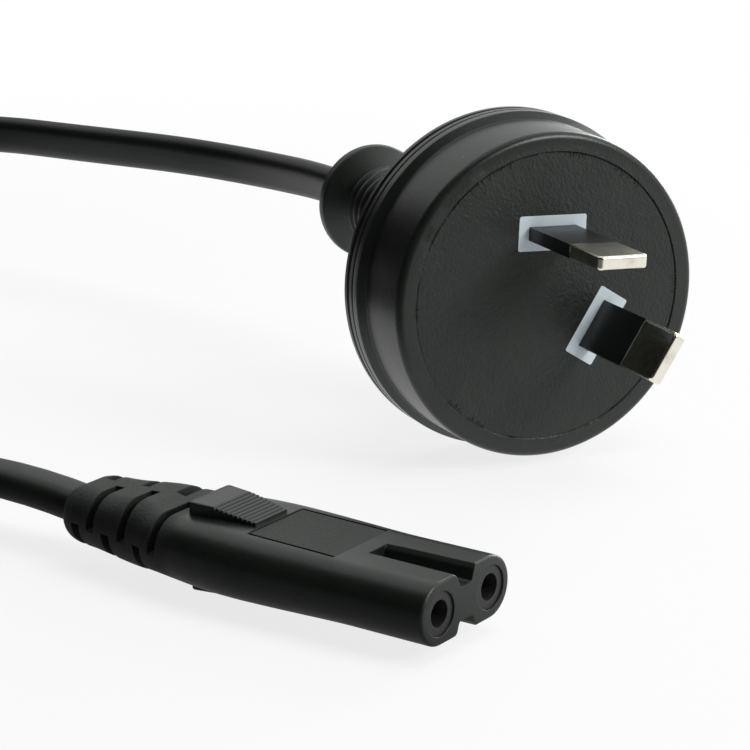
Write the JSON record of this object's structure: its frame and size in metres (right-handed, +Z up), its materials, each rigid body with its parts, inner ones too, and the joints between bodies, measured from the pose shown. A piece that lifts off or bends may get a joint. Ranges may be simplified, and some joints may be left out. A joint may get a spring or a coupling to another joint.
{
  "type": "appliance power lead",
  "caption": "Power lead with a round-faced plug and flat angled pins on a ribbed neck, a flat cord tied in a coil, and a figure-eight appliance connector with a slotted bend relief.",
  "frame": {"origin": "on the surface the lead lies on, under the middle of the box round the plug and the connector", "axes": "+Z up from the surface, -Y towards the viewer of the picture, +X to the viewer's right"},
  "size_m": [0.1783, 0.1902, 0.0423],
  "materials": {
    "plug_pvc": "satin black moulded PVC",
    "white_plastic": "matt white",
    "pin_metal": "nickel plated, satin",
    "sleeve_plastic": "matt black",
    "connector_pvc": "satin black moulded PVC",
    "carrier_plastic": "matt black",
    "contact_metal": "bare",
    "brown_core": "matt brown",
    "blue_core": "matt blue",
    "copper": "bare copper",
    "cord_sheath": "matt black PVC",
    "tie_fabric": "black woven hook-and-loop"
  },
  "bodies": {
    "root": {"plug_body": "plug_pvc", "pin_bridge": "white_plastic", "pin_active": "pin_metal", "pin_neutral": "pin_metal", "pin_sleeve_active": "sleeve_plastic", "pin_sleeve_neutral": "sleeve_plastic", "plug_core_active": "brown_core", "plug_core_neutral": "blue_core", "plug_wire_active": "copper", "plug_wire_neutral": "copper", "connector_body": "connector_pvc", "contact_carrier": "carrier_plastic", "contact_active": "contact_metal", "contact_neutral": "contact_metal", "connector_core_active": "brown_core", "connector_core_neutral": "blue_core", "connector_wire_active": "copper", "connector_wire_neutral": "copper", "cord_plug_run": "cord_sheath", "cord_coil": "cord_sheath", "cord_connector_run": "cord_sheath", "coil_tie": "tie_fabric"}
  },
  "joints": []
}
